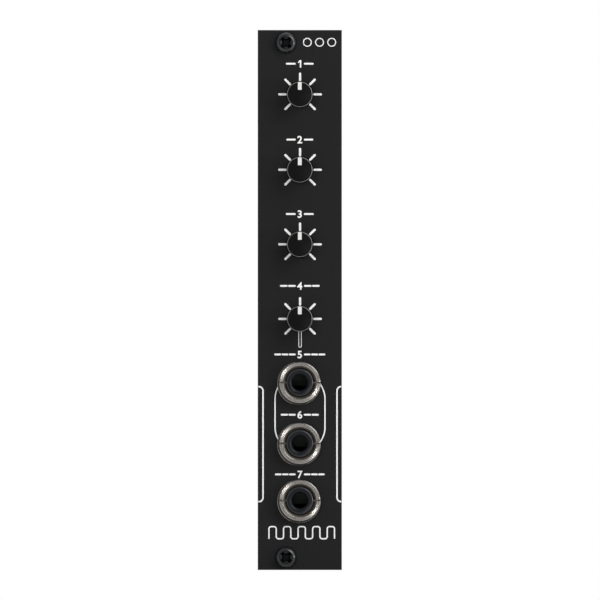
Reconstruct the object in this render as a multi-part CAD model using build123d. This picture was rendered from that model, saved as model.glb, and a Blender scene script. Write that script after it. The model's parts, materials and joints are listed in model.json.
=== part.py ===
from build123d import *
import math
import os

# A synthesizer module for a 3U rack, 4HP wide: a panel with four dials and three sockets, and one
# circuit board behind it. Lengths are in millimetres and angles in degrees.
# Each piece is drawn with the panel lying face up: x to the right, y up the panel, z out of its
# front, z = 0 on its back. stand_up() then turns it, so that the front faces -Y and +Z is up.
# The origin lies on the panel's back, midway between the two panel screws.

# panel
panel_width = 20.0
panel_height = 128.5
panel_thickness = 2.0
panel_edge_chamfer = 0.15
screw_from_end = 3.0
screw_from_left = 6.75
screw_slot_length = 4.6
screw_slot_width = 3.3
shaft_hole_gap = 0.2
barrel_hole_gap = 0.15

# places up the panel, from its middle, as shares of its height
dial_place_shares = (0.3809, 0.2412, 0.1031, -0.035)
socket_place_shares = (-0.1529, -0.2658, -0.3714)

# panel screws, M3 with a domed head and a cross recess
screw_radius = 1.5
screw_neck_radius = 1.25
screw_neck_past_panel = 0.15
screw_length = 6.0
head_radius = 2.65
head_height = 2.0
head_rim_height = 0.8
head_crown_radius = 1.6
recess_length = 2.8
recess_width = 0.62
recess_depth = 1.1
recess_turn = 45.0

# dial shaft, the end that shows and the rotor inside
shaft_radius = 3.0
knob_reach = 6.0
knob_chamfer = 0.3
pointer_width = 1.07
pointer_length = 2.1
pointer_depth = 0.6
pointer_gap = 0.02
running_gap = 0.06
carrier_width = 2.4
carrier_thickness = 1.0
hub_side = 3.6
turn_each_way = 140.0
stop_play = 4.0
stop_gap = 0.1

# potentiometer body
cover_width = 9.7
cover_wall = 0.5
cover_corner_cut = 0.9
pocket_gap = 0.15
pocket_corner_cut = 2.2
stop_depth = 0.65
axial_play = 0.05
bush_length = 3.35
wafer_thickness = 1.2
wafer_lip = 1.3
track_height = 0.1
track_from_wall = 1.15
track_width = 0.8
track_half_angle = 150.0
track_run_shares = (-1, -0.75, -0.5, -0.25, 0, 0.25, 0.5, 0.75, 1)
collector_side = 1.8
brush_height = 1.0
brush_gap = 0.05
brush_thickness = 0.15
brush_width = 1.1
brush_curl = 0.35
brush_root_y = 1.2
brush_root_length = 1.1
bracket_sheet = 0.4
bracket_gap = 0.05
bracket_depth = 8.6
bracket_hole_gap = 0.5
tab_width = 2.0
terminal_pitch = 2.5
terminal_width = 0.8
terminal_sheet = 0.3
terminal_from_wafer = 0.85

# socket housing and barrel
housing_width = 9.0
housing_height = 10.5
housing_depth = 9.6
housing_wall = 0.9
housing_roof = 2.0
housing_corner_cut = 0.5
barrel_radius = 3.2
barrel_reach = 2.3
bore_radius = 1.8
mouth_radius = 2.45
mouth_depth = 0.8

# socket contacts
contact_sheet = 0.3
contact_gap = 0.1
sleeve_width = 4.4
sleeve_hole_gap = 0.15
sleeve_leg_width = 1.2
sleeve_shoulder_drop = 2.2
sleeve_press = 0.15
sleeve_tongue_drop = 2.8
sleeve_tongue_slope = 0.85
tip_width = 2.2
tip_rise = 5.0
tip_top_run = 1.0
tip_touch = 1.0
tip_touch_height = 1.6
tip_flare = 0.6
tip_flare_drop = 0.9
tip_wing_reach = 2.6
switch_width = 0.7
switch_from_wall = 0.95
switch_gap = 0.07

# ring nut and washer
nut_radius = 4.9
nut_height = 1.9
nut_thread_gap = 0.05
nut_face_radius = 3.85
nut_slot_width = 0.42
nut_slot_depth = 0.8
washer_radius = 5.15
washer_thickness = 0.4
washer_hole_radius = 3.5
washer_shift = 0.28
washer_shift_direction = 225.0

# circuit board
board_thickness = 1.6
board_side_margin = 1.0
board_end_margin = 0.4
board_corner_radius = 0.6
lead_past_board = 0.8
slot_gap = 0.05

# power header, two rows of five pins
header_pitch = 2.54
header_columns = 5
header_rows = 2
header_base_height = 2.54
header_notch = 0.45
header_pin = 0.64
header_pin_free = 6.0
header_pin_short = 0.2
header_from_terminals = 0.6
header_gap = 0.02

# electrolytic capacitors
can_radius = 3.15
can_height = 5.6
can_base_side = 6.6
can_base_height = 0.9
can_base_cut = 1.4
can_drop = 1.3

# chips in small-outline cases
chip_length = 4.9
chip_width = 3.9
chip_height = 1.45
chip_lift = 0.15
chip_chamfer = 0.3
chip_lead_count = 4
chip_lead_pitch = 1.27
chip_lead_width = 0.42
chip_lead_sheet = 0.2
chip_lead_shoulder = 0.5
chip_lead_foot = 0.55
chip_drop = 0.4

# transistors, diodes, resistors and ceramic capacitors
transistor_length = 2.9
transistor_width = 1.3
transistor_height = 1.0
transistor_chamfer = 0.15
transistor_lead_width = 0.4
transistor_lead_sheet = 0.15
transistor_lead_reach = 0.55
transistor_lead_spacing = 1.9
transistor_pitch = 4.6
diode_length = 2.8
diode_width = 1.8
diode_height = 1.15
diode_chamfer = 0.15
diode_foot_length = 0.9
diode_foot_width = 0.9
diode_foot_sheet = 0.2
diode_pitch = 3.4
chip_part_length = 2.0
chip_part_width = 1.25
resistor_height = 0.5
ceramic_height = 0.85
chip_part_pitch = 2.2
row_of_resistors = 4
row_from_terminals = 1.4
row_pitch = 2.4
side_part_x = 7.3
side_part_rise = 3.4

# values that follow from the sizes above
dial_places = [share * panel_height for share in dial_place_shares]
socket_places = [share * panel_height for share in socket_place_shares]
screw_spacing = panel_height - 2 * screw_from_end
line_x = panel_width / 2 - screw_from_left
panel_front = panel_thickness
board_front = -housing_depth
board_rear = board_front - board_thickness
lead_low = board_rear - lead_past_board
wafer_top = board_front + wafer_thickness
track_top = wafer_top + track_height
carrier_low = track_top + brush_height
carrier_top = carrier_low + carrier_thickness
pocket_top = carrier_top + axial_play
pocket_reach = cover_width / 2 - cover_wall
stop_inner = pocket_reach - stop_depth
lug_reach = math.sqrt((pocket_reach - pocket_gap) ** 2 - (carrier_width / 2) ** 2)
carrier_reach = math.sqrt((stop_inner - stop_gap) ** 2 - (carrier_width / 2) ** 2)
track_radius = pocket_reach - track_from_wall
terminal_reach = cover_width / 2 + wafer_lip + terminal_from_wafer
cover_top = pocket_top + bush_length
knob_top = panel_front + knob_reach
bracket_side_x = cover_width / 2 + bracket_gap + bracket_sheet / 2
housing_roof_low = -housing_roof
barrel_top = panel_front + barrel_reach
nut_low = panel_front + washer_thickness
nut_top = nut_low + nut_height
nut_bore_radius = barrel_radius + nut_thread_gap
chamber_wall_y = housing_height / 2 - housing_wall
board_width = panel_width - 2 * board_side_margin
board_top_y = dial_places[0] + cover_width / 2 + board_end_margin
board_bottom_y = socket_places[-1] - housing_height / 2 - board_end_margin
header_drop = terminal_reach + header_from_terminals + header_rows * header_pitch / 2
header_y = dial_places[0] - header_drop
row_drops = (terminal_reach + row_from_terminals, terminal_reach + row_from_terminals + row_pitch)

on_base = (Align.CENTER, Align.CENTER, Align.MIN)
quarter_turn = 90
half_turn = 180


def disc(radius, low, high):
    return Pos(0, 0, low) * Cylinder(radius, high - low, align=on_base)


def block(width, height, low, high):
    return Pos(0, 0, low) * Box(width, height, high - low, align=on_base)


def turned(*outline):
    return revolve(Plane.XZ * make_face(Polyline(*outline, close=True)), Axis.Z)


# a bent strip of sheet metal that follows points in the y-z plane, centred on x = 0
def strip(points, sheet, width):
    return extrude(Plane.YZ * trace(Polyline(*points), sheet), width / 2, both=True)


def top_edges(shape):
    return shape.edges().group_by(Axis.Z)[-1]


def low_edges(shape):
    return shape.edges().group_by(Axis.Z)[0]


def upright_edges(shape):
    return shape.edges().filter_by(Axis.Z)


# panel and its screws
def front_panel():
    plate = Pos(line_x, 0, 0) * block(panel_width, panel_height, 0, panel_thickness)
    plate = chamfer(top_edges(plate), panel_edge_chamfer)
    for end in (-1, 1):
        slot = SlotOverall(screw_slot_length, screw_slot_width)
        plate -= extrude(Pos(0, end * screw_spacing / 2, 0) * slot, panel_thickness)
    for y in dial_places:
        plate -= Pos(line_x, y, 0) * disc(shaft_radius + shaft_hole_gap, 0, panel_thickness)
    for y in socket_places:
        plate -= Pos(line_x, y, 0) * disc(barrel_radius + barrel_hole_gap, 0, panel_thickness)
    return plate


def rail_screw():
    head_top = panel_front + head_height
    head = turned(
        (0, panel_front),
        (head_radius, panel_front),
        (head_radius, panel_front + head_rim_height),
        (head_crown_radius, head_top),
        (0, head_top),
    )
    neck_end = -screw_neck_past_panel
    shank_end = panel_front - screw_length
    neck = disc(screw_neck_radius, neck_end, panel_front)
    shank = disc(screw_radius, shank_end, neck_end)
    cross = Rectangle(recess_length, recess_width) + Rectangle(recess_width, recess_length)
    recess = extrude(Pos(0, 0, head_top - recess_depth) * cross, recess_depth)
    return head + neck + shank - Rot(0, 0, recess_turn) * recess


def rail_screws():
    return [Pos(0, end * screw_spacing / 2, 0) * rail_screw() for end in (1, -1)]


# dial: the shaft that is turned, its pointer and its wiper
def shaft_end():
    return chamfer(top_edges(disc(shaft_radius, pocket_top, knob_top)), knob_chamfer)


def pointer_space(gap):
    middle_y = shaft_radius - pointer_length / 2
    low = knob_top - pointer_depth
    return Pos(0, middle_y, 0) * block(pointer_width - 2 * gap, pointer_length, low, knob_top)


def knob():
    length = carrier_reach + lug_reach
    carrier = block(carrier_width, length, carrier_low, carrier_top)
    carrier = Pos(0, (carrier_reach - lug_reach) / 2, 0) * carrier
    hub = block(hub_side, hub_side, carrier_low, pocket_top)
    return shaft_end() + hub + carrier - pointer_space(0)


def pointer():
    return shaft_end() & pointer_space(pointer_gap)


def wiper():
    root_z = carrier_low - brush_thickness / 2
    touch_z = track_top + brush_gap + brush_thickness / 2
    points = (
        (track_radius + brush_curl, touch_z + brush_curl),
        (track_radius, touch_z),
        (brush_root_y + brush_root_length, root_z),
        (brush_root_y, root_z),
        (0, touch_z),
        (-brush_curl, touch_z + brush_curl),
    )
    return strip(points, brush_thickness, brush_width)


# potentiometer: the still pieces round each dial's shaft
def pot_cover():
    shell = block(cover_width, cover_width, wafer_top, cover_top)
    shell = chamfer(upright_edges(shell), cover_corner_cut)
    pocket = block(2 * pocket_reach, 2 * pocket_reach, wafer_top, pocket_top)
    shell -= chamfer(upright_edges(pocket), pocket_corner_cut)
    shell -= disc(shaft_radius + running_gap, pocket_top, cover_top)
    lug_half_angle = math.degrees(math.atan2(carrier_width / 2, lug_reach))
    stop_half_angle = math.radians(half_turn - turn_each_way - lug_half_angle - stop_play)
    stop = block(2 * stop_inner * math.tan(stop_half_angle), stop_depth, carrier_low, pocket_top)
    return shell + Pos(0, stop_inner + stop_depth / 2, 0) * stop


def pot_wafer():
    wafer_height = cover_width + wafer_lip
    plate = Pos(0, -wafer_lip / 2, 0) * block(cover_width, wafer_height, board_front, wafer_top)
    turns = [math.radians(quarter_turn + share * track_half_angle) for share in track_run_shares]
    corners = [(track_radius * math.cos(turn), track_radius * math.sin(turn)) for turn in turns]
    track = extrude(Pos(0, 0, wafer_top) * trace(Polyline(*corners), track_width), track_height)
    return plate + track + block(collector_side, collector_side, wafer_top, track_top)


def pot_bracket():
    roof_z = cover_top + bracket_sheet / 2
    side = bracket_side_x
    path = Polyline((-side, lead_low), (-side, roof_z), (side, roof_z), (side, lead_low))
    frame = extrude(Plane.XZ * trace(path, bracket_sheet), bracket_depth / 2, both=True)
    window = 2 * (shaft_radius + bracket_hole_gap)
    frame -= block(window, window, cover_top, cover_top + bracket_sheet)
    shoulder = (bracket_depth - tab_width) / 2
    notch = block(2 * (side + bracket_sheet), shoulder, lead_low, board_front)
    for end in (-1, 1):
        frame -= Pos(0, end * (tab_width + shoulder) / 2, 0) * notch
    return frame


def pot_terminals():
    on_wafer = wafer_top + terminal_sheet / 2
    start_y = -cover_width / 2 - bracket_gap
    points = ((start_y, on_wafer), (-terminal_reach, on_wafer), (-terminal_reach, lead_low))
    leg = strip(points, terminal_sheet, terminal_width)
    return [Pos(step * terminal_pitch, 0, 0) * leg for step in (-1, 0, 1)]


# socket: moulded housing with its barrel, three contacts, ring nut and washer
def socket_housing():
    body = block(housing_width, housing_height, board_front, 0)
    body = chamfer(upright_edges(body), housing_corner_cut)
    inner_width = housing_width - 2 * housing_wall
    body -= block(inner_width, 2 * chamber_wall_y, board_front, housing_roof_low)
    barrel = disc(barrel_radius, 0, barrel_top)
    mouth_low = barrel_top - mouth_depth
    mouth = turned(
        (0, mouth_low), (bore_radius, mouth_low), (mouth_radius, barrel_top), (0, barrel_top)
    )
    return body + barrel - disc(bore_radius, housing_roof_low, barrel_top) - mouth


def sleeve_contact():
    plate_z = housing_roof_low - contact_sheet / 2
    leg_y = chamber_wall_y - contact_gap - contact_sheet / 2
    tongue_y = bore_radius - sleeve_press + contact_sheet / 2
    tongue_end = (-tongue_y, plate_z - sleeve_tongue_drop)
    corner = (-tongue_y - sleeve_tongue_slope, plate_z)
    points = (tongue_end, corner, (leg_y, plate_z), (leg_y, lead_low))
    clip = strip(points, contact_sheet, sleeve_width)
    hole = 2 * (bore_radius + sleeve_hole_gap)
    clip -= block(hole, hole, plate_z - contact_sheet, plate_z + contact_sheet)
    shoulder = (sleeve_width - sleeve_leg_width) / 2
    notch_top = plate_z - sleeve_shoulder_drop
    notch = Pos(0, leg_y, 0) * block(shoulder, 2 * contact_sheet, lead_low, notch_top)
    for side in (-1, 1):
        clip -= Pos(side * (sleeve_leg_width + shoulder) / 2, 0, 0) * notch
    return clip


def tip_points():
    wall_y = -chamber_wall_y + contact_gap + contact_sheet / 2
    top_z = board_front + tip_rise
    touch_z = board_front + tip_touch_height
    touch = (-tip_touch, touch_z)
    free_end = (-tip_touch - tip_flare, touch_z - tip_flare_drop)
    return (wall_y, lead_low), (wall_y, top_z), (wall_y + tip_top_run, top_z), touch, free_end


def tip_spring():
    points = tip_points()
    leaf = strip(points, contact_sheet, tip_width)
    wing = Plane.YZ * trace(Polyline(*points[-2:]), contact_sheet)
    return leaf + extrude(wing, tip_wing_reach)


def switch_contact():
    touch, free_end = tip_points()[-2:]
    rest_z = (touch[1] + free_end[1]) / 2
    slope = math.hypot(tip_flare, tip_flare_drop) / tip_flare_drop
    lean = tip_flare / tip_flare_drop
    rest_y = (touch[0] + free_end[0]) / 2 + contact_sheet / 2 * (slope + lean) + switch_gap
    leg_y = chamber_wall_y - switch_from_wall
    points = ((leg_y, lead_low), (leg_y, rest_z), (rest_y, rest_z))
    arm = strip(points, contact_sheet, switch_width)
    return Pos(tip_wing_reach - switch_width / 2, 0, 0) * arm


def socket_nut():
    ring = turned(
        (nut_bore_radius, nut_low),
        (nut_radius, nut_low),
        (nut_radius, nut_top),
        (nut_face_radius, nut_top),
        (nut_bore_radius, nut_top - (nut_face_radius - nut_bore_radius)),
    )
    return ring - block(2 * nut_radius, nut_slot_width, nut_top - nut_slot_depth, nut_top)


def socket_washer():
    ring = disc(washer_radius, panel_front, nut_low) - disc(washer_hole_radius, panel_front, nut_low)
    turn = math.radians(washer_shift_direction)
    return Pos(washer_shift * math.cos(turn), washer_shift * math.sin(turn), 0) * ring


# circuit board, with a slot for each lead that passes through it
def lead_slot(x, y, width, height):
    return Pos(x, y, 0) * block(width + 2 * slot_gap, height + 2 * slot_gap, board_rear, board_front)


def dial_slots():
    slots = [lead_slot(side * bracket_side_x, 0, bracket_sheet, tab_width) for side in (-1, 1)]
    for step in (-1, 0, 1):
        x = step * terminal_pitch
        slots.append(lead_slot(x, -terminal_reach, terminal_width, terminal_sheet))
    return slots


def socket_slots():
    wall_y = chamber_wall_y - contact_gap - contact_sheet / 2
    switch_x = tip_wing_reach - switch_width / 2
    return [
        lead_slot(0, wall_y, sleeve_leg_width, contact_sheet),
        lead_slot(0, -wall_y, tip_width, contact_sheet),
        lead_slot(switch_x, chamber_wall_y - switch_from_wall, switch_width, contact_sheet),
    ]


# steps of one pitch, centred on zero
def spread(count, pitch):
    return [(step - (count - 1) / 2) * pitch for step in range(count)]


def header_pin_places():
    rows = spread(header_rows, header_pitch)
    return [Pos(x, y, 0) for x in spread(header_columns, header_pitch) for y in rows]


def circuit_board():
    height = board_top_y - board_bottom_y
    middle_y = (board_top_y + board_bottom_y) / 2
    board = Pos(line_x, middle_y, 0) * block(board_width, height, board_rear, board_front)
    board = fillet(upright_edges(board), board_corner_radius)
    cuts = [Pos(line_x, y, 0) * slot for y in dial_places for slot in dial_slots()]
    cuts += [Pos(line_x, y, 0) * slot for y in socket_places for slot in socket_slots()]
    header = Pos(line_x, header_y, 0)
    cuts += [header * place * lead_slot(0, 0, header_pin, header_pin) for place in header_pin_places()]
    return board - cuts


# power header
def header_base():
    low = board_rear - header_base_height
    cell = block(header_pitch, header_rows * header_pitch, low, board_rear)
    cell = chamfer(upright_edges(cell), header_notch)
    first, *others = [Pos(x, 0, 0) * cell for x in spread(header_columns, header_pitch)]
    base = first + others
    side = header_pin + 2 * header_gap
    return base - [place * block(side, side, low, board_rear) for place in header_pin_places()]


def header_pins():
    low = board_rear - header_base_height - header_pin_free
    pin = block(header_pin, header_pin, low, board_front - header_pin_short)
    return [place * pin for place in header_pin_places()]


# electrolytic capacitors, cans on moulded bases
def capacitor_base():
    base = block(can_base_side, can_base_side, board_rear - can_base_height, board_rear)
    return chamfer(upright_edges(base).group_by(Axis.Y)[-1], can_base_cut)


def capacitor_can():
    seat = board_rear - can_base_height
    return disc(can_radius, seat - can_height, seat)


# chips and the other parts soldered to the board's rear
def chip_body():
    low = board_rear - chip_lift - chip_height
    body = block(chip_width, chip_length, low, board_rear - chip_lift)
    return chamfer(low_edges(body), chip_chamfer)


def chip_leads():
    shoulder_z = board_rear - chip_lift - chip_height / 2
    foot_z = board_rear - chip_lead_sheet / 2
    start = (chip_width + chip_lead_sheet) / 2
    bend = start + chip_lead_shoulder
    toe = bend + chip_lead_foot
    path = Polyline((start, shoulder_z), (bend, foot_z), (toe, foot_z))
    lead = extrude(Plane.XZ * trace(path, chip_lead_sheet), chip_lead_width / 2, both=True)
    sides = (lead, Rot(0, 0, half_turn) * lead)
    return [Pos(0, y, 0) * side for y in spread(chip_lead_count, chip_lead_pitch) for side in sides]


def transistor():
    low = board_rear - transistor_lead_sheet - transistor_height
    seat = board_rear - transistor_lead_sheet
    body = chamfer(low_edges(block(transistor_length, transistor_width, low, seat)), transistor_chamfer)
    lead_height = transistor_width / 2 + transistor_lead_reach
    lead = block(transistor_lead_width, lead_height, seat, board_rear)
    for side in (-1, 1):
        body += Pos(side * transistor_lead_spacing / 2, -lead_height / 2, 0) * lead
    return body + Pos(0, lead_height / 2, 0) * lead


def diode():
    seat = board_rear - diode_foot_sheet
    body = chamfer(low_edges(block(diode_width, diode_length, seat - diode_height, seat)), diode_chamfer)
    foot = block(diode_foot_width, diode_foot_length, seat, board_rear)
    for end in (-1, 1):
        body += Pos(0, end * diode_length / 2, 0) * foot
    return body


def chip_part(height):
    return block(chip_part_width, chip_part_length, board_rear - height, board_rear)


def side_places():
    corners = [(side * side_part_x, side * side_part_rise) for side in (-1, 1)]
    return [Pos(line_x + x, y + rise, 0) for y in dial_places for x, rise in corners]


def row_places(y, count):
    return [Pos(line_x + x, y, 0) for x in spread(count, chip_part_pitch)]


def resistors():
    part = chip_part(resistor_height)
    rows = [y - drop for y in dial_places[1:3] for drop in row_drops]
    rows.append(dial_places[-1] - row_drops[0])
    rows += [(upper + lower) / 2 for upper, lower in zip(socket_places, socket_places[1:])]
    return [place * part for y in rows for place in row_places(y, row_of_resistors)]


def ceramic_capacitors():
    return [place * chip_part(ceramic_height) for place in side_places()]


def stand_up(shape):
    return Rot(quarter_turn, 0, 0) * shape


def save(node, shapes):
    solids = [solid for shape in shapes for solid in stand_up(shape).solids()]
    export_step(solids[0] if len(solids) == 1 else Compound(solids), f"parts/{node}.step")


os.makedirs("parts", exist_ok=True)
save("front_panel", [front_panel()])
save("rail_screws", rail_screws())

for number, y in enumerate(dial_places, start=1):
    here = Pos(line_x, y, 0)
    save(f"dial_{number}_knob", [here * knob()])
    save(f"dial_{number}_pointer", [here * pointer()])
    save(f"dial_{number}_wiper", [here * wiper()])
    save(f"dial_{number}_cover", [here * pot_cover()])
    save(f"dial_{number}_wafer", [here * pot_wafer()])
    save(f"dial_{number}_bracket", [here * pot_bracket()])
    save(f"dial_{number}_terminals", [here * terminal for terminal in pot_terminals()])

for number, y in enumerate(socket_places, start=len(dial_places) + 1):
    here = Pos(line_x, y, 0)
    save(f"socket_{number}_housing", [here * socket_housing()])
    save(f"socket_{number}_sleeve_contact", [here * sleeve_contact()])
    save(f"socket_{number}_tip_spring", [here * tip_spring()])
    save(f"socket_{number}_switch_contact", [here * switch_contact()])
    save(f"socket_{number}_nut", [here * socket_nut()])
    save(f"socket_{number}_washer", [here * socket_washer()])

header_place = Pos(line_x, header_y, 0)
can_places = [Pos(line_x, y - can_drop, 0) for y in dial_places[:2]]
chip_places = [Pos(line_x, y, 0) for y in dial_places[2:]]
chip_places.append(Pos(line_x, socket_places[1] - chip_drop, 0) * Rot(0, 0, quarter_turn))
transistor_places = [Pos(line_x + x, socket_places[0], 0) for x in spread(2, transistor_pitch)]
diode_places = [Pos(line_x + x, socket_places[2], 0) for x in spread(2, diode_pitch)]
save("circuit_board", [circuit_board()])
save("header_base", [header_place * header_base()])
save("header_pins", [header_place * pin for pin in header_pins()])
save("capacitor_bases", [place * capacitor_base() for place in can_places])
save("capacitor_cans", [place * capacitor_can() for place in can_places])
save("chips", [place * chip_body() for place in chip_places])
save("chip_leads", [place * lead for place in chip_places for lead in chip_leads()])
save("transistors", [place * transistor() for place in transistor_places])
save("diodes", [place * diode() for place in diode_places])
save("resistors", resistors())
save("ceramic_capacitors", ceramic_capacitors())
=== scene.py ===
import bpy
import bmesh
import json
import math
from contextlib import contextmanager
from mathutils import Matrix, Vector


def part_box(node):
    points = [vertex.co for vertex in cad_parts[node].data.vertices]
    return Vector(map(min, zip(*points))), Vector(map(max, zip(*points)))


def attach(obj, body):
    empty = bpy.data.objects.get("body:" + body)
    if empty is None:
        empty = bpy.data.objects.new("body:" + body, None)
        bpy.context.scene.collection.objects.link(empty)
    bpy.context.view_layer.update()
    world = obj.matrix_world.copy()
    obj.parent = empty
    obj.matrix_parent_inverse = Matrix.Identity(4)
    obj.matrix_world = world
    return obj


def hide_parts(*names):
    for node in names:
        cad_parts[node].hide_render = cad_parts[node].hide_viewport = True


# A slim synthesizer module: black panel with white print, four dials, three sockets, and the
# circuit board behind. Sizes here are in millimetres, and become metres where a mesh is made.
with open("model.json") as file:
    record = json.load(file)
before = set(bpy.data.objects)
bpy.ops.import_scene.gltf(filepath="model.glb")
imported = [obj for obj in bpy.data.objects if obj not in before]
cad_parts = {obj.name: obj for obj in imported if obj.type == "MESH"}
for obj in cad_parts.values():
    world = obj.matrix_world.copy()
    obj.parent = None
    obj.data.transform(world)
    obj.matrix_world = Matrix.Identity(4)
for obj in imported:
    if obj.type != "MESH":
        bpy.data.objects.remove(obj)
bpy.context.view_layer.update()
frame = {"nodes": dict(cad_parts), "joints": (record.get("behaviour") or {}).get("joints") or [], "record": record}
nodes = frame["nodes"]
mm = 0.001
overrun = 1.0  # how far a cutter runs out past what it cuts


def boxInMm(node):
    low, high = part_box(node)
    return low / mm, high / mm


def middleOf(low, high):  # x and z of a box's middle
    return (low.x + high.x) / 2, (low.z + high.z) / 2


panelLow, panelHigh = boxInMm("front_panel")
panelFront = panelLow.y
lineX = (panelLow.x + panelHigh.x) / 2
dialPlaces = [Vector(joint["pos_m"]) / mm for joint in frame["joints"]]
dialBodies = [joint["child"] for joint in frame["joints"]]
socketMounts = [mount for mount in frame["record"]["mounts"] if mount["name"].startswith("socket_")]
socketPlaces = [Vector(mount["pos_m"]) / mm for mount in socketMounts]
print("frame loaded:", len(nodes), "nodes")


# Meshes. A shape is a pair: its corners, in millimetres, and its faces. An outline is a list of
# (x, z) points, and a profile one of (radius, y) points.
meshLook = {
    "ownMerge": 0.0005, "cadMerge": 0.001, "flatAngle": 1, "bevelSteps": 2,
    "cadBevelAngle": 50, "cadSmoothAngle": 35,
}


def arc(x, z, radius, start, end, steps):
    turns = [math.radians(start + (end - start) * i / steps) for i in range(steps + 1)]
    return [(x + radius * math.cos(t), z + radius * math.sin(t)) for t in turns]


def circle(x, z, radius, steps):
    return arc(x, z, radius, 0, 360, steps)[:-1]


def rectangle(x0, x1, z0, z1):
    return [(x0, z0), (x1, z0), (x1, z1), (x0, z1)]


def roundedOutline(low, high, inset, radius, steps):  # arcs about the corners of a box made smaller
    x0, x1, z0, z1 = low.x + inset, high.x - inset, low.z + inset, high.z - inset
    outline = []
    for quarter, (x, z) in enumerate(((x1, z1), (x0, z1), (x0, z0), (x1, z0))):
        outline += arc(x, z, radius, 90 * quarter, 90 * quarter + 90, steps)
    return outline


def joined(shapes):
    corners, faces = [], []
    for shapeCorners, shapeFaces in shapes:
        first = len(corners)
        corners += shapeCorners
        faces += [[first + i for i in face] for face in shapeFaces]
    return corners, faces


def moved(shape, x=0.0, z=0.0, y=0.0):
    return [corner + Vector((x, y, z)) for corner in shape[0]], shape[1]


def spun(shape, degrees):  # about the Y axis, clockwise as seen from the front
    turn = math.radians(degrees)
    sine, cosine = math.sin(turn), math.cos(turn)
    corners = [Vector((c.x * cosine + c.z * sine, c.y, c.z * cosine - c.x * sine)) for c in shape[0]]
    return corners, shape[1]


def turned(profile, segments, closed=False):  # about the Y axis
    corners, faces, rings = [], [], []
    for radius, y in profile:
        if radius == 0:
            rings.append([len(corners)] * segments)
            corners.append(Vector((0, y, 0)))
            continue
        rings.append(list(range(len(corners), len(corners) + segments)))
        corners += ringAt(circle(0, 0, radius, segments), y)
    following = rings[1:] + rings[:1] if closed else rings[1:]
    for ring, nextRing in zip(rings, following):
        for i in range(segments):
            j = (i + 1) % segments
            face = list(dict.fromkeys([ring[i], ring[j], nextRing[j], nextRing[i]]))
            if len(face) > 2:
                faces.append(face)
    return corners, faces


def ringAt(outline, y):
    return [Vector((x, y, z)) for x, z in outline]


def stacked(rings, closed=False):  # a body through rings of equally many corners, with ends or in a loop
    count = len(rings[0])
    corners = [corner for ring in rings for corner in ring]
    total = len(corners)
    faces = [] if closed else [list(range(count)), list(range(total - count, total))]
    for first in range(0, total if closed else total - count, count):
        for k in range(count):
            a, b = first + k, first + (k + 1) % count
            faces.append([a, b, (b + count) % total, (a + count) % total])
    return corners, faces


def plate(outline, front, back):
    return stacked([ringAt(outline, front), ringAt(outline, back)])


def brick(low, high):
    return plate(rectangle(low[0], high[0], low[2], high[2]), low[1], high[1])


def ribbon(points, width, front, back, closed=False):  # a flat strip along a line of points
    path = [Vector(point) for point in points]
    rings = []
    for i, point in enumerate(path):
        before = path[i - 1] if closed or i else point
        after = path[(i + 1) % len(path)] if closed or i < len(path) - 1 else point
        along = (after - before).normalized()
        across = Vector((-along.y, along.x)) * width / 2
        sides = (point + across, point - across)
        rings.append(ringAt(sides, front) + ringAt(sides[::-1], back))
    return stacked(rings, closed)


@contextmanager
def draftOf(mesh):  # a mesh opened for changes, written back at the end
    draft = bmesh.new()
    draft.from_mesh(mesh)
    yield draft
    draft.to_mesh(mesh)
    draft.free()


def addObject(name, data):
    made = bpy.data.objects.new(name, data)
    bpy.context.scene.collection.objects.link(made)
    return made


def makeObject(name, shape):
    mesh = bpy.data.meshes.new(name)
    mesh.from_pydata([corner * mm for corner in shape[0]], [], shape[1])
    with draftOf(mesh) as draft:
        bmesh.ops.recalc_face_normals(draft, faces=draft.faces)
    return addObject(name, mesh)


def meshAsSeen(made):
    bpy.context.view_layer.update()
    seen = made.evaluated_get(bpy.context.evaluated_depsgraph_get())
    return bpy.data.meshes.new_from_object(seen)


def applyModifiers(made):
    mesh = meshAsSeen(made)
    made.modifiers.clear()
    made.data = mesh


def cutAway(made, shape):
    cutter = makeObject("cutter", shape)
    cut = made.modifiers.new("cut", "BOOLEAN")
    cut.operation = "DIFFERENCE"
    cut.solver = "EXACT"
    cut.object = cutter
    applyModifiers(made)
    bpy.data.objects.remove(cutter)


def mendMesh(made):  # merges corners that have run together and drops empty faces
    reach = meshLook["ownMerge"] * mm
    with draftOf(made.data) as draft:
        bmesh.ops.remove_doubles(draft, verts=draft.verts, dist=reach)
        bmesh.ops.dissolve_degenerate(draft, dist=reach, edges=draft.edges)


def bevelEdges(made, width, angle=40):
    bevel = made.modifiers.new("bevel", "BEVEL")
    bevel.width = width * mm
    bevel.segments = meshLook["bevelSteps"]
    bevel.limit_method = "ANGLE"
    bevel.angle_limit = math.radians(angle)
    bevel.use_clamp_overlap = True
    applyModifiers(made)
    mendMesh(made)


def finishPiece(made, surface, body="module", slot=None, replaces=(), smoothAngle=40):
    mesh = made.data
    mesh.polygons.foreach_set("use_smooth", [True] * len(mesh.polygons))
    mesh.set_sharp_from_angle(angle=math.radians(smoothAngle))
    evenOut = made.modifiers.new("evenOut", "WEIGHTED_NORMAL")  # keeps flat faces flat beside round edges
    evenOut.keep_sharp = True
    applyModifiers(made)
    made.data.materials.clear()
    made.data.materials.append(surfaces[surface])
    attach(made, body)
    if replaces:
        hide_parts(*replaces)
    return made


def makePiece(name, shapes, surface, bevel=0, **finish):  # one piece made of several shapes
    made = makeObject(name, joined(shapes))
    if bevel:
        bevelEdges(made, bevel)
    return finishPiece(made, surface, **finish)


def paintFaces(made, surface, wanted, x=0.0, z=0.0):
    # wanted takes a face's distance from the line through (x, z), its y and its normal
    mesh = made.data
    mesh.materials.append(surfaces[surface])
    for face in mesh.polygons:
        middle = face.center / mm
        if wanted((middle.xz - Vector((x, z))).length, middle.y, face.normal):
            face.material_index = len(mesh.materials) - 1


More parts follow.
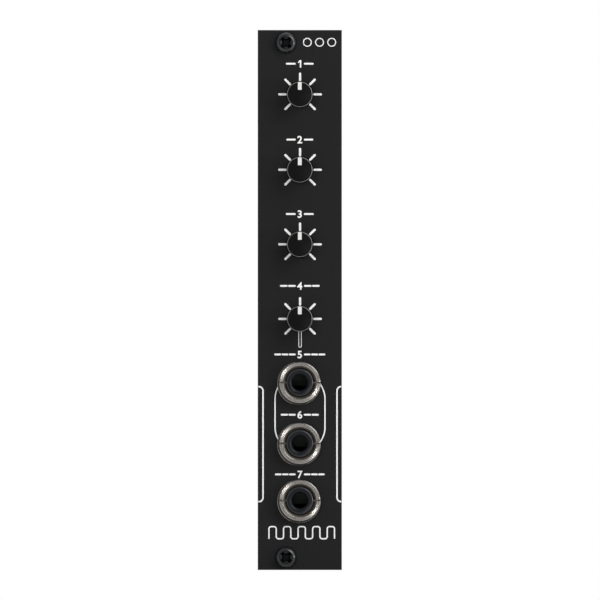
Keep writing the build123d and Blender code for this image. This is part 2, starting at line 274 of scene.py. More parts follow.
def softened(nodeName, pieceName, surface, width, slot):  # a node with its edges rounded
    look = meshLook
    made = addObject(pieceName, nodes[nodeName].data.copy())
    with draftOf(made.data) as draft:
        bmesh.ops.remove_doubles(draft, verts=draft.verts, dist=look["cadMerge"] * mm)
        flat = math.radians(look["flatAngle"])
        bmesh.ops.dissolve_limit(draft, angle_limit=flat, verts=draft.verts, edges=draft.edges)
    bevelEdges(made, width, look["cadBevelAngle"])
    return finishPiece(made, surface, slot=slot, replaces=[nodeName], smoothAngle=look["cadSmoothAngle"])


def solidBoxes(nodeName):  # the low and high corners of each separate solid in a node
    draft = bmesh.new()
    draft.from_mesh(nodes[nodeName].data)
    bmesh.ops.remove_doubles(draft, verts=draft.verts, dist=meshLook["cadMerge"] * mm)
    boxes, seen = [], set()
    for first in draft.verts:
        if first in seen:
            continue
        places, waiting = [], [first]
        seen.add(first)
        while waiting:
            corner = waiting.pop()
            places.append(corner.co / mm)
            others = {edge.other_vert(corner) for edge in corner.link_edges} - seen
            seen |= others
            waiting += others
        boxes.append([Vector([pick(place[k] for place in places) for k in range(3)]) for pick in (min, max)])
    draft.free()
    return boxes


# Materials. All share one effect: fine grain and wide, faint smudges.
def setInputs(tree, node, inputs):  # by name or place, each with a value or another node's output
    for place, value in inputs.items():
        if isinstance(value, bpy.types.NodeSocket):
            tree.links.new(value, node.inputs[place])
        else:
            node.inputs[place].default_value = value


def addNode(tree, kind, inputs):
    node = tree.nodes.new("ShaderNode" + kind)
    setInputs(tree, node, inputs)
    return node


def addMath(tree, operation, first, second):
    node = addNode(tree, "Math", {0: first, 1: second})
    node.operation = operation
    return node.outputs["Value"]


def addNoise(tree, size, detail):  # size is a socket that holds millimetres
    place = addNode(tree, "TexCoord", {}).outputs["Object"]
    scale = addMath(tree, "DIVIDE", 1 / mm, size)
    return addNode(tree, "TexNoise", {"Detail": detail, "Vector": place, "Scale": scale}).outputs["Fac"]


grainLook = {"grainDetail": 2.0, "smudgeDetail": 3.0}
grainSockets = {
    "INPUT": {"Colour": "Color", "Roughness": "Float", "Grain Size": "Float", "Smudge Size": "Float",
              "Colour Change": "Float", "Roughness Change": "Float"},
    "OUTPUT": {"Colour": "Color", "Roughness": "Float", "Height": "Float"},
}


def makeGrainGroup():
    group = bpy.data.node_groups.new("surfaceGrain", "ShaderNodeTree")
    for direction, sockets in grainSockets.items():
        for socketName, kind in sockets.items():
            group.interface.new_socket(socketName, in_out=direction, socket_type="NodeSocket" + kind)
    start, end = group.nodes.new("NodeGroupInput").outputs, group.nodes.new("NodeGroupOutput")
    grain = addNoise(group, start["Grain Size"], grainLook["grainDetail"])
    smudge = addNoise(group, start["Smudge Size"], grainLook["smudgeDetail"])
    mixed = addMath(group, "SUBTRACT", addMath(group, "ADD", grain, smudge), 1.0)
    value = addMath(group, "ADD", addMath(group, "MULTIPLY", mixed, start["Colour Change"]), 1.0)
    tint = addNode(group, "HueSaturation", {"Value": value, "Color": start["Colour"]})
    change = addMath(group, "MULTIPLY", mixed, start["Roughness Change"])
    rough = addMath(group, "ADD", start["Roughness"], change)
    setInputs(group, end, {"Colour": tint.outputs["Color"], "Roughness": rough, "Height": grain})
    return group


grainGroup = makeGrainGroup()
surfaceDefaults = {  # what a look below leaves out
    "metallic": 0, "specular": 0.5, "coat": 0, "coatRoughness": 0.1, "grain": 0.2, "smudge": 6.0,
    "colourChange": 0.15, "roughnessChange": 0.15, "bump": 0.3, "bumpHeight": 0.01,
}
surfaceLooks = {
    "panelBlack": {
        "colour": (0.0098, 0.0098, 0.0102), "roughness": 0.62, "specular": 0.13,
        "grain": 0.16, "smudge": 14.0, "colourChange": 0.4, "bump": 0.25, "bumpHeight": 0.012,
    },
    "printWhite": {
        "colour": (0.92, 0.92, 0.91), "roughness": 0.55, "specular": 0.4,
        "grain": 0.1, "colourChange": 0.05, "bump": 0.15,
    },
    "shaftBlack": {
        "colour": (0.0024, 0.0024, 0.0026), "roughness": 0.4, "specular": 0.08,
        "grain": 0.12, "colourChange": 0.3, "bump": 0.2, "bumpHeight": 0.008,
    },
    # painted highlight: a light grey on the black shaft's rounded rim, standing in for the light the rim catches
    "shaftRimHighlight": {
        "colour": (0.25, 0.25, 0.25), "roughness": 0.3, "specular": 1.0, "grain": 0.3, "colourChange": 0.25,
    },
    "pointerWhite": {
        "colour": (0.74, 0.74, 0.725), "roughness": 0.42, "colourChange": 0.05, "bump": 0.15,
    },
    "turnedNickel": {
        "colour": (0.335, 0.317, 0.295), "roughness": 0.19, "metallic": 1, "grain": 0.5,
        "smudge": 3.0, "colourChange": 0.07, "roughnessChange": 0.03, "bump": 0.006, "bumpHeight": 0.004,
    },
    # painted shade: darker metal for the nut's bore funnel and slot floors, where shade falls
    "nutBoreShade": {"colour": (0.12, 0.105, 0.09), "roughness": 0.5, "metallic": 0.8, "colourChange": 0.3},
    # painted shade: nickel darkened for the washer's face, which lies in the nut's shadow
    "washerNickelShade": {"colour": (0.045, 0.043, 0.041), "roughness": 0.42, "metallic": 1, "bump": 0.1},
    # painted highlight: a lighter grey for the barrel's rounded rim, standing in for the light it catches
    "socketRimHighlight": {
        "colour": (0.034, 0.037, 0.042), "roughness": 0.32, "specular": 0.6, "colourChange": 0.2,
    },
    "socketPlastic": {
        "colour": (0.0048, 0.0056, 0.008), "roughness": 0.34, "specular": 0.18,
        "grain": 0.15, "colourChange": 0.2, "bump": 0.12,
    },
    "screwBlack": {
        "colour": (0.0095, 0.0108, 0.013), "roughness": 0.27, "metallic": 0.12, "specular": 0.62,
        "colourChange": 0.3, "roughnessChange": 0.25, "bump": 0.15,
    },
    # painted shade: a darker, duller crown inside the screw head's highlight ring
    "screwCrownShade": {"colour": (0.0065, 0.0075, 0.0095), "roughness": 0.36, "specular": 0.2, "bump": 0.15},
    # painted shade: near-black for the inside of the cross recess
    "recessShade": {"colour": (0.002, 0.002, 0.0023), "roughness": 0.5, "specular": 0.1, "bump": 0.2},
    "potCover": {"colour": (0.02, 0.02, 0.022), "roughness": 0.45, "grain": 0.15, "coat": 0.1},
    "phenolic": {"colour": (0.16, 0.075, 0.028), "roughness": 0.42, "grain": 0.35, "colourChange": 0.5},
    "carbonTrack": {"colour": (0.012, 0.012, 0.013), "roughness": 0.5},
    "tinnedSteel": {
        "colour": (0.62, 0.61, 0.58), "roughness": 0.36, "metallic": 1, "grain": 0.5,
        "smudge": 2.5, "roughnessChange": 0.25, "bump": 0.15,
    },
    # painted shade: steel darkened for the socket contacts, which sit in shade inside the housing
    "contactSteelShade": {
        "colour": (0.1, 0.097, 0.09), "roughness": 0.42, "metallic": 1, "grain": 0.4, "smudge": 2.0,
    },
    "springBronze": {
        "colour": (0.62, 0.4, 0.2), "roughness": 0.3, "metallic": 1, "smudge": 2.0, "colourChange": 0.25,
    },
    "solder": {
        "colour": (0.66, 0.66, 0.65), "roughness": 0.24, "metallic": 1, "grain": 0.35,
        "smudge": 1.2, "roughnessChange": 0.3, "bump": 0.2, "bumpHeight": 0.015,
    },
    "boardGreen": {
        "colour": (0.005, 0.055, 0.02), "roughness": 0.4, "specular": 0.4, "grain": 0.3, "smudge": 9.0,
        "colourChange": 0.25, "coat": 0.12, "coatRoughness": 0.2,
    },
    "traceGreen": {"colour": (0.02, 0.12, 0.038), "roughness": 0.38, "grain": 0.25, "coat": 0.12},
    "boardEdge": {
        "colour": (0.33, 0.3, 0.14), "roughness": 0.75, "grain": 0.12, "colourChange": 0.5, "bump": 0.6,
    },
    "silkWhite": {"colour": (0.78, 0.78, 0.74), "roughness": 0.6},
    "headerBlack": {"colour": (0.012, 0.012, 0.013), "roughness": 0.42, "grain": 0.15},
    "pinGold": {"colour": (0.86, 0.6, 0.24), "roughness": 0.22, "metallic": 1, "smudge": 3.0},
    "canAluminium": {
        "colour": (0.78, 0.78, 0.79), "roughness": 0.3, "metallic": 1, "grain": 0.4,
        "smudge": 4.0, "roughnessChange": 0.2, "bump": 0.06,
    },
    "canMark": {"colour": (0.012, 0.012, 0.013), "roughness": 0.5},
    "chipBlack": {
        "colour": (0.014, 0.014, 0.015), "roughness": 0.55, "grain": 0.1, "colourChange": 0.4,
        "bump": 0.5, "bumpHeight": 0.015,
    },
    "partWhite": {"colour": (0.75, 0.74, 0.7), "roughness": 0.5, "grain": 0.12},
    "partTan": {"colour": (0.36, 0.23, 0.12), "roughness": 0.45, "grain": 0.15, "colourChange": 0.25},
    "bandGrey": {"colour": (0.5, 0.5, 0.48), "roughness": 0.5},
}


def makeSurface(name, look):
    material = bpy.data.materials.new(name)
    material.use_nodes = True
    tree = material.node_tree
    grain = tree.nodes.new("ShaderNodeGroup")
    grain.node_tree = grainGroup
    setInputs(tree, grain, {
        "Colour": (*look["colour"], 1), "Roughness": look["roughness"],
        "Grain Size": look["grain"], "Smudge Size": look["smudge"],
        "Colour Change": look["colourChange"], "Roughness Change": look["roughnessChange"],
    })
    bump = addNode(tree, "Bump", {
        "Height": grain.outputs["Height"], "Distance": look["bumpHeight"] * mm, "Strength": look["bump"],
    })
    setInputs(tree, tree.nodes["Principled BSDF"], {
        "Base Color": grain.outputs["Colour"], "Roughness": grain.outputs["Roughness"],
        "Normal": bump.outputs["Normal"], "Metallic": look["metallic"],
        "Specular IOR Level": look["specular"],
        "Coat Weight": look["coat"], "Coat Roughness": look["coatRoughness"],
    })
    return material


surfaces = {name: makeSurface(name, {**surfaceDefaults, **look}) for name, look in surfaceLooks.items()}
# Nodes that are shown as they are, by how their names end. Pieces of this script replace the others.
nodeSurfaces = {
    "front_panel": "panelBlack", "wiper": "springBronze", "terminals": "tinnedSteel",
    # the sleeve and tip contacts get steel darkened as painted shade
    "sleeve_contact": "contactSteelShade", "tip_spring": "contactSteelShade", "switch_contact": "springBronze",
    "chip_leads": "tinnedSteel",
}
for name, node in nodes.items():
    match = [surface for ending, surface in nodeSurfaces.items() if name.endswith(ending)]
    node.data.materials.clear()
    node.data.materials.append(surfaces[match[0] if match else "chipBlack"])
print("materials made:", len(surfaces))


# White print on the panel: marks round the dials, lines round the sockets, plain numbers
printLook = {
    "thickness": 0.02, "sink": 0.004,
    "tickFrom": 3.14, "tickTo": 5.2, "tickWidth": 0.53, "tickStep": 45, "tickCount": 7, "markShift": 0.065,
    "stemStart": 2.74, "stemEnd": 6.75, "stemWidth": 0.62, "stemLine": 0.14, "stemSteps": 16,
    "linkReach": 5.94, "linkOverrun": 3.9, "linkShift": 0.055, "linkSweep": 60, "linkSteps": 16,
    "linkLine": 0.3,
    "frameLeft": 1.25, "frameRight": 1.14, "frameTop": -20.6, "frameBottom": -48.0,
    "frameLine": 0.34, "frameCorner": 1.0, "frameStop": 0.12, "frameSteps": 10,
    "numberHeight": 1.7, "numberWeight": 0.06, "digitShare": 0.7, "digitReach": 0.38,
    "flagReach": 0.5, "flagDrop": 0.42, "flagWidth": 0.27, "flagShift": 0.18,
    "dashLength": 1.25, "dashGap": 0.55, "dashWidth": 0.44,
    "numberRise": (7.29, 7.18, 7.22, 7.86, 6.69, 6.85, 6.23),  # the dials, then the sockets
    "numberWidth": (6.2, 5.95, 6.2, 9.0, 11.7, 8.6, 11.4),
    "ringCount": 3, "ringSize": 2.1, "ringPitch": 2.9, "ringLine": 0.22, "ringX": 4.7, "ringZ": 61.34,
    "ringSteps": 40,
    "waveWidth": 15.6, "waveHeight": 2.9, "waveLine": 0.31, "waveX": 0.46, "waveZ": -55.38,
    "waveCount": 5, "waveCorner": 0.55, "waveSteps": 6,
}
printFront = panelFront - printLook["thickness"]
printBack = panelFront + printLook["sink"]


def printLine(points, width, closed=False):
    return ribbon(points, width, printFront, printBack, closed)


def pill(start, end, width, roundSteps=8):
    first, last = Vector(start), Vector(end)
    heading = math.degrees(math.atan2(last.y - first.y, last.x - first.x))
    outline = arc(last.x, last.y, width / 2, heading - 90, heading + 90, roundSteps)
    outline += arc(first.x, first.y, width / 2, heading + 90, heading + 270, roundSteps)
    return plate(outline, printFront, printBack)


def dialMarks():
    look = printLook
    inset = look["tickWidth"] / 2
    marks = []
    for place in dialPlaces:
        centre = Vector((place.x + look["markShift"], place.z))
        for step in range(look["tickCount"]):
            turn = math.radians((step - (look["tickCount"] - 1) / 2) * look["tickStep"])
            out = Vector((math.sin(turn), math.cos(turn)))
            start, end = centre + out * (look["tickFrom"] + inset), centre + out * (look["tickTo"] - inset)
            marks.append(pill(start, end, look["tickWidth"]))
    return marks


def dialStem():  # the narrow loop that runs down from the last dial
    look = printLook
    x, z = dialPlaces[-1].x + look["markShift"], dialPlaces[-1].z
    half = look["stemWidth"] / 2
    high, low = z - look["stemStart"], z - look["stemEnd"] + half
    loop = [(x - half, high)] + arc(x, low, half, 180, 360, look["stemSteps"]) + [(x + half, high)]
    return [printLine(loop, look["stemLine"])]


def socketLinks():  # the rounded lines that join the first two sockets
    look = printLook
    high, low = socketPlaces[0].z - look["linkOverrun"], socketPlaces[1].z + look["linkOverrun"]
    x, reach, steps = lineX + look["linkShift"], look["linkReach"], look["linkSteps"]
    lines = []
    for heading, sweep in ((180, -look["linkSweep"]), (0, look["linkSweep"])):
        path = arc(x, high, reach, heading + sweep, heading, steps)
        path += arc(x, low, reach, heading, heading - sweep, steps)
        lines.append(printLine(path, look["linkLine"]))
    return lines


def edgeFrames():  # a bracket at each long edge of the panel, open to the outside
    look = printLook
    top, bottom, corner, steps = (look["frame" + part] for part in ("Top", "Bottom", "Corner", "Steps"))
    lines = []
    for side, edge, inset in ((1, panelHigh.x, look["frameRight"]), (-1, panelLow.x, look["frameLeft"])):
        start, x = edge - side * look["frameStop"], edge - side * (inset - corner)
        heading = 180 if side > 0 else 0
        path = [(start, top)] + arc(x, top - corner, corner, 90, heading, steps)
        path += arc(x, bottom + corner, corner, heading, heading + side * 90, steps) + [(start, bottom)]
        lines.append(printLine(path, look["frameLine"]))
    return lines


def numberShape(text, x, z):
    look = printLook
    words = bpy.data.curves.new("number", "FONT")
    words.body = text
    words.size = look["numberHeight"] / look["digitShare"]
    words.offset = look["numberWeight"]
    words.align_x = "CENTER"
    words.extrude = (printBack - printFront) / 2
    holder = addObject("number", words)
    mesh = meshAsSeen(holder)
    bpy.data.objects.remove(holder)
    middle = (printFront + printBack) / 2
    low = z - look["numberHeight"] / 2
    corners = [Vector((v.co.x + x, middle - v.co.z, v.co.y + low)) for v in mesh.vertices]
    shape = (corners, [list(face.vertices) for face in mesh.polygons])
    if text != "1":
        return shape
    # the font's one is a bare bar, so it gets a small flag
    inset = look["flagWidth"] / 2
    high = low + look["numberHeight"] - inset
    flag = pill((x - look["flagReach"], high - look["flagDrop"]), (x - inset, high), look["flagWidth"])
    return moved(joined([shape, moved(flag, y=look["sink"])]), x=look["flagShift"])


def numberLabel(text, x, z, width):  # a number with as many dashes on each side as the width takes
    look = printLook
    shapes = [numberShape(text, x, z)]
    room = width / 2 - look["numberHeight"] * look["digitReach"]
    count = max(1, round(room / (look["dashLength"] + look["dashGap"])))
    length = room / count - look["dashGap"]
    for side in (-1, 1):
        for step in range(count):
            outer = width / 2 - step * (length + look["dashGap"])
            shapes.append(pill((x + side * outer, z), (x + side * (outer - length), z), look["dashWidth"]))
    return shapes


def numberLabels():
    labels = []
    sizes = zip(dialPlaces + socketPlaces, printLook["numberRise"], printLook["numberWidth"])
    for number, (place, rise, width) in enumerate(sizes, start=1):
        labels += numberLabel(str(number), place.x, place.z + rise, width)
    return labels


def topRings():
    look = printLook
    rings = []
    for step in range(look["ringCount"]):
        x = lineX + look["ringX"] + (step - (look["ringCount"] - 1) / 2) * look["ringPitch"]
        loop = circle(x, look["ringZ"], (look["ringSize"] - look["ringLine"]) / 2, look["ringSteps"])
        rings.append(printLine(loop, look["ringLine"], closed=True))
    return rings


def bottomWave():  # a square wave with rounded corners
    look = printLook
    half, r, z, steps = look["waveHeight"] / 2, look["waveCorner"], look["waveZ"], look["waveSteps"]
    stride = look["waveWidth"] / (2 * look["waveCount"] - 1)
    x = lineX + look["waveX"] - look["waveWidth"] / 2
    path = [(x, z - half)]
    for step in range(2 * look["waveCount"] - 1):
        up = -1 if step % 2 else 1
        inner = z + up * (half - r)
        path += arc(x + r, inner, r, 180, 180 - up * 90, steps)
        path += arc(x + stride - r, inner, r, up * 90, 0, steps)
        x += stride
    return [printLine(path + [(x, z - half)], look["waveLine"])]


printShapes = {
    "dialMarks": dialMarks(),
    "dialStem": dialStem(),
    "socketLinks": socketLinks(),
    "edgeFrames": edgeFrames(),
    "numberLabels": numberLabels(),
    "topRings": topRings(),
    "bottomWave": bottomWave(),
}
for name, shapes in printShapes.items():
    makePiece(name, shapes, "printWhite")
print("print made:", len(printShapes), "pieces")


# Dials: the shaft with its rounded end, its white pointer, and the wiper's carrier inside
knobLook = {
    "segments": 128, "rimRound": 0.13, "rimSteps": 6, "rimFlat": 0.08, "dish": 0.03, "dishEdge": 0.1,
    "shaftEnd": 6.25, "shaftEdge": 0.1, "hubSide": 3.6, "armSide": 2.4, "armDepth": 1.0, "smoothAngle": 30,
    "pointerGap": 0.015, "pointerInset": 0.06, "pointerCorner": 0.1, "pointerStart": 0.12,
    "pointerSteps": 5, "pointerRound": 0.03,
    "paintDepth": 0.8, "paintInset": 0.01, "paintNormal": -0.99,
}


def makeKnob(i):
    look, body = knobLook, dialBodies[i]
    name = f"dial_{i + 1}_"
    low, high = boxInMm(name + "knob")
    x, z = dialPlaces[i].xz
    radius, top = (high.x - low.x) / 2, low.y
    r, dish, edge, shaftEnd = (look[part] for part in ("rimRound", "dish", "shaftEdge", "shaftEnd"))
    inner = radius - r - look["rimFlat"]
    profile = [(0, top + dish), (inner - look["dishEdge"], top + dish), (inner, top)]
    profile += arc(radius - r, top + r, r, -90, 0, look["rimSteps"])
    profile += [(radius, shaftEnd - edge), (radius - edge, shaftEnd), (0, shaftEnd)]
    knob = makeObject(f"knob{i + 1}", moved(turned(profile, look["segments"]), x, z))

    pointerLow, pointerHigh = boxInMm(name + "pointer")
    pointerLow.z += look["pointerStart"]
    corner, steps = look["pointerCorner"], look["pointerSteps"]
    inset = look["pointerInset"] + corner
    hole = roundedOutline(pointerLow, pointerHigh, inset, corner + look["pointerGap"], steps)
    cutAway(knob, plate(hole, top - overrun, pointerHigh.y))
    outline = roundedOutline(pointerLow, pointerHigh, inset, corner, steps)
    pointer = makeObject(f"pointer{i + 1}", plate(outline, top, pointerHigh.y))
    bevelEdges(pointer, look["pointerRound"])
    finishPiece(pointer, "pointerWhite", body, "pointer", [name + "pointer"])

    half, reach = look["hubSide"] / 2, look["armSide"] / 2
    hub = brick((x - half, shaftEnd, z - half), (x + half, high.y, z + half))
    arm = brick((x - reach, high.y - look["armDepth"], low.z), (x + reach, high.y, high.z))
    makePiece(f"carrier{i + 1}", [hub, arm], "shaftBlack", body=body, slot="knob")
    finishPiece(knob, "shaftBlack", body, "knob", [name + "knob"], look["smoothAngle"])

    def isRim(away, y, normal):
        return (away > radius - r - look["paintInset"] and y < top + r * look["paintDepth"]
                and normal.y > look["paintNormal"])

    # painted highlight: the rounded rim of the shaft's end gets a light grey
    paintFaces(knob, "shaftRimHighlight", isRim, x, z)


for i in range(len(dialPlaces)):
    makeKnob(i)
print("dials made:", len(dialPlaces))


# Ring nuts: turned, with fine tool marks across the face and a slot at each side
nutLook = {
    "segments": 144, "smoothAngle": 50, "edge": 0.2, "edgeSteps": 4, "bore": 3.25, "boreEdge": 0.04,
    "boreDepth": 0.8, "faceInner": 4.0, "faceDrop": 0.03, "marks": 7, "markDepth": 0.0088, "markSteps": 6,
    "markInset": 0.06, "markOutset": 0.04, "slotWidth": 0.4, "slotDepth": 0.8, "paintReach": 0.02,
}


def makeNut(i):
    look = nutLook
    name = socketMounts[i]["name"] + "_nut"
    low, high = boxInMm(name)
    x, z = socketPlaces[i].xz
    outer, top, bottom = (high.x - low.x) / 2, low.y, high.y
    bore, edge, boreEdge, inner = (look[part] for part in ("bore", "edge", "boreEdge", "faceInner"))
    markFrom, markTo = inner + look["markInset"], outer - edge - look["markOutset"]
    profile = [(bore, bottom), (outer - edge, bottom), (outer, bottom - edge), (outer, top + edge)]
    profile += arc(outer - edge, top + edge, edge, 0, -90, look["edgeSteps"])[1:]
    count = look["marks"] * look["markSteps"]
    for step in range(count + 1):
        share = step / count
        wave = (1 - math.cos(2 * math.pi * share * look["marks"])) / 2
        profile.append((markTo - (markTo - markFrom) * share, top + look["markDepth"] * wave))
    boreTop = top + look["boreDepth"]
    profile += [(inner, top + look["faceDrop"]), (bore + boreEdge, boreTop - 2 * boreEdge), (bore, boreTop)]
    nut = makeObject(f"nut{i + 1}", moved(turned(profile, look["segments"], True), x, z))
    reach, half, slotFloor = outer + overrun, look["slotWidth"] / 2, top + look["slotDepth"]
    cutAway(nut, brick((x - reach, top - overrun, z - half), (x + reach, slotFloor, z + half)))
    finishPiece(nut, "turnedNickel", slot="nickel", replaces=[name], smoothAngle=look["smoothAngle"])

    def isDark(away, y, normal):
        return away < inner or abs(y - slotFloor) < look["paintReach"]

    # painted shade: the bore funnel and the floors of the slots get darker metal
    paintFaces(nut, "nutBoreShade", isDark, x, z)


washerLook = {"segments": 128, "bore": 3.5, "edge": 0.08}


def makeWasher(i):
    bore, edge = washerLook["bore"], washerLook["edge"]
    name = socketMounts[i]["name"] + "_washer"
    low, high = boxInMm(name)
    x, z = middleOf(low, high)
    radius = (high.x - low.x) / 2
    profile = [(bore, high.y), (radius - edge, high.y), (radius, high.y - edge), (radius, low.y + edge)]
    profile += [(radius - edge, low.y), (bore, low.y)]
    washer = makeObject(f"washer{i + 1}", moved(turned(profile, washerLook["segments"], True), x, z))
    # painted shade on the washer's face, and below a painted highlight on its outer edge
    finishPiece(washer, "washerNickelShade", slot="nickel", replaces=[name])
    # painted highlight: the washer's outer edge gets the lighter nickel of the nut
    paintFaces(washer, "turnedNickel", lambda away, y, normal: away > radius - edge, x, z)


# Sockets: the moulded body with its barrel, rounded rim and dished mouth
socketLook = {
    "segments": 128, "barrel": 3.2, "rimRound": 0.3, "rimSteps": 6, "paintShare": 0.8, "bore": 1.8,
    "mouth": 2.8, "mouthDepth": 0.8, "mouthEdge": 0.04, "mouthSteps": 10,
    "roof": 2.0, "wall": 0.9, "corner": 0.5, "shellRound": 0.12,
}


def makeSocket(i):
    look = socketLook
    name = socketMounts[i]["name"] + "_housing"
    low, high = boxInMm(name)
    x, z = socketPlaces[i].xz
    top, barrel, bore, roof = low.y, look["barrel"], look["bore"], look["roof"]
    mouth, edge, r = look["mouth"], look["mouthEdge"], look["rimRound"]
    profile = [(barrel, 0), (barrel, top + r)] + arc(barrel - r, top + r, r, 0, -90, look["rimSteps"])[1:]
    for step in range(look["mouthSteps"] + 1):  # the mouth curves in and runs out along the bore
        angle = math.radians(90 * step / look["mouthSteps"])
        depth = edge + (look["mouthDepth"] - edge) * (1 - math.cos(angle))
        profile.append((mouth - (mouth - bore) * math.sin(angle), top + depth))
    profile += [(bore, roof), (barrel, roof)]
    tube = moved(turned(profile, look["segments"], True), x, z)

    corner, wall = look["corner"], look["wall"]
    outline = roundedOutline(low, high, corner, corner, 1)  # one step cuts each corner off straight
    shell = makeObject(f"socketBody{i + 1}", plate(outline, 0, high.y))
    hollowEnd = (high.x - wall, high.y + overrun, high.z - wall)
    cutAway(shell, brick((low.x + wall, roof, low.z + wall), hollowEnd))
    hole = [(0, -overrun), (barrel, -overrun), (barrel, roof + overrun), (0, roof + overrun)]
    cutAway(shell, moved(turned(hole, look["segments"]), x, z))
    bevelEdges(shell, look["shellRound"])
    finishPiece(shell, "socketPlastic", slot="socket_plastic")

    barrelPiece = makeObject(f"barrel{i + 1}", tube)
    finishPiece(barrelPiece, "socketPlastic", slot="socket_plastic", replaces=[name])
    rim = r * look["paintShare"]
    # painted highlight: the barrel's rounded rim gets a lighter grey
    paintFaces(barrelPiece, "socketRimHighlight", lambda away, y, normal: away > barrel - rim and y < top + rim, x, z)


for i in range(len(socketPlaces)):
    makeNut(i)
    makeWasher(i)
    makeSocket(i)
print("sockets made:", len(socketPlaces))


# Panel screws: domed heads with a cross recess turned an eighth
screwLook = {
    "segments": 96, "smoothAngle": 38, "edge": 0.08,
    "rim": 0.8, "lean": 0.3, "crown": 3.0, "domeSteps": 24,  # a higher crown makes a flatter head
    "crossLength": 4.0, "crossWidth": 1.12, "crossDepth": 1.25, "crossRise": 0.5, "crossTaper": (0.4, 0.6),
    "crossTurn": 45, "pitTop": 0.96, "pitEnd": 0.4, "pitSegments": 32,
    "threadRadius": 1.5, "threadDepth": 0.25, "threadPitch": 0.5, "threadFlat": 0.08, "threadStart": 0.3,
    "neckEnd": 0.15, "tipInset": 0.3, "tipLength": 0.25,
    "faceRadius": 1.62, "recessFrom": 0.04, "recessTo": 0.1, "recessShare": 0.72,
}


def crossCutters(look, top):
    high, deep = top - look["crossRise"], top + look["crossDepth"]
    half, width = look["crossLength"] / 2, look["crossWidth"] / 2
    upper = rectangle(-half, half, -width, width)
    lower = [(x * look["crossTaper"][0], z * look["crossTaper"][1]) for x, z in upper]
    wing = stacked([ringAt(upper, high), ringAt(lower, deep)])
    pit = [(0, high), (look["pitTop"], high), (look["pitTop"], top), (look["pitEnd"], deep), (0, deep)]
    wings = [spun(wing, turn + look["crossTurn"]) for turn in (0, 90)]
    return wings + [turned(pit, look["pitSegments"])]


def makeScrew(number, z):
    look = screwLook
    low, high = boxInMm("rail_screws")
    x, radius, top, end = (low.x + high.x) / 2, (high.x - low.x) / 2, low.y, high.y
    rimY, rimRadius = panelFront - look["rim"], radius - look["lean"]

    def domeY(away):  # the depth of the head's surface at a distance from its middle
        share = min(away / rimRadius, 1)
        return rimY + (top - rimY) * (1 - share ** look["crown"]) ** (1 / look["crown"])

    steps, edge, crest = look["domeSteps"], look["edge"], look["threadRadius"]
    across = [rimRadius * math.sin(math.radians(90 * step / steps)) for step in range(steps + 1)]
    root, pitch, flat = crest - look["threadDepth"], look["threadPitch"], look["threadFlat"]
    profile = [(r, domeY(r)) for r in across] + [(radius, panelFront - edge), (radius - edge, panelFront)]
    profile += [(root, panelFront), (root, look["neckEnd"])]
    y = look["threadStart"]
    while y < end - pitch:
        profile += [(crest, y), (crest, y + flat), (root, y + pitch / 2), (root, y + pitch / 2 + flat)]
        y += pitch
    profile += [(crest, y), (crest, end - look["tipLength"]), (crest - look["tipInset"], end), (0, end)]
    screw = makeObject(f"panelScrew{number}", turned(profile, look["segments"]))
    for cutter in crossCutters(look, top):
        cutAway(screw, cutter)
    mendMesh(screw)
    screw.data.transform(Matrix.Translation((x * mm, 0, z * mm)))
    angle = look["smoothAngle"]
    finishPiece(screw, "screwBlack", slot="screw_black", replaces=["rail_screws"], smoothAngle=angle)

    def isFace(away, y, normal):
        return y < panelFront and away < look["faceRadius"]

    def isRecess(away, y, normal):
        nearest, farthest = top + look["recessFrom"], panelFront - look["recessTo"]
        inside = nearest < y < farthest and away < radius * look["recessShare"]
        return inside and y > domeY(away) + look["recessFrom"]

    # painted shade: the crown gets a darker black, and the cross recess near-black
    paintFaces(screw, "screwCrownShade", isFace, x, z)
    paintFaces(screw, "recessShade", isRecess, x, z)


screwLow, screwHigh = boxInMm("rail_screws")
screwReach = screwHigh.z - (screwHigh.x - screwLow.x) / 2
for number, z in enumerate((screwReach, -screwReach), start=1):
    makeScrew(number, z)
print("screws made")


# Potentiometers behind the panel
potLook = {"round": 0.12, "waferRound": 0.06, "sheetRound": 0.05, "track": 0.02}
for number in range(1, len(dialPlaces) + 1):
    pot = f"dial_{number}_"
    softened(pot + "cover", f"potCover{number}", "potCover", potLook["round"], "pot_cover")
    wafer = softened(pot + "wafer", f"potWafer{number}", "phenolic", potLook["waferRound"], "wafer")
    trackY = boxInMm(pot + "wafer")[0].y + potLook["track"]
    paintFaces(wafer, "carbonTrack", lambda away, y, normal: y < trackY)
    softened(pot + "bracket", f"potBracket{number}", "tinnedSteel", potLook["sheetRound"], "tinned_steel")
print("potentiometers made")


# The circuit board, with its copper lines, pads, solder and white outlines
boardLook = {
    "round": 0.08, "sideNormal": 0.5, "sink": 0.004, "lineWidth": 0.26, "lineRise": 0.012,
    "powerWidth": 0.7, "powerInset": 0.75, "powerEnd": 1.6, "powerBend": 1.2,
    "busLines": ((5.85, 2.55), (6.3, 2.4)),  # distance from the dials' line, and inset at the ends
    "busWidth": 0.2, "busBend": 0.6, "busClear": 1.4,
    "padRise": 0.025, "padGrow": 0.16, "padUnder": 0.4, "footBack": 0.35, "footReach": 0.45,
    "viaSize": 0.3, "viaLine": 0.14, "viaSteps": 16, "fanOut": (0.45, 0.85, 0.6, 1.0), "fanShift": 0.4,
    "stub": 0.45,
}
boardLow, boardHigh = boxInMm("circuit_board")
boardRear = boardHigh.y
lineFront, lineBack = boardRear - boardLook["sink"], boardRear + boardLook["lineRise"]
padBack = boardRear + boardLook["padRise"]
smallParts = solidBoxes("resistors") + solidBoxes("ceramic_capacitors")


def makeBoard():
    board = softened("circuit_board", "board", "boardGreen", boardLook["round"], "board")
    paintFaces(board, "boardEdge", lambda away, y, normal: abs(normal.y) < boardLook["sideNormal"])


def boardLine(path, width, closed=False):
    return ribbon(path, width, lineFront, lineBack, closed)


def pad(low, high):
    return brick((low.x, lineFront, low.z), (high.x, padBack, high.z))


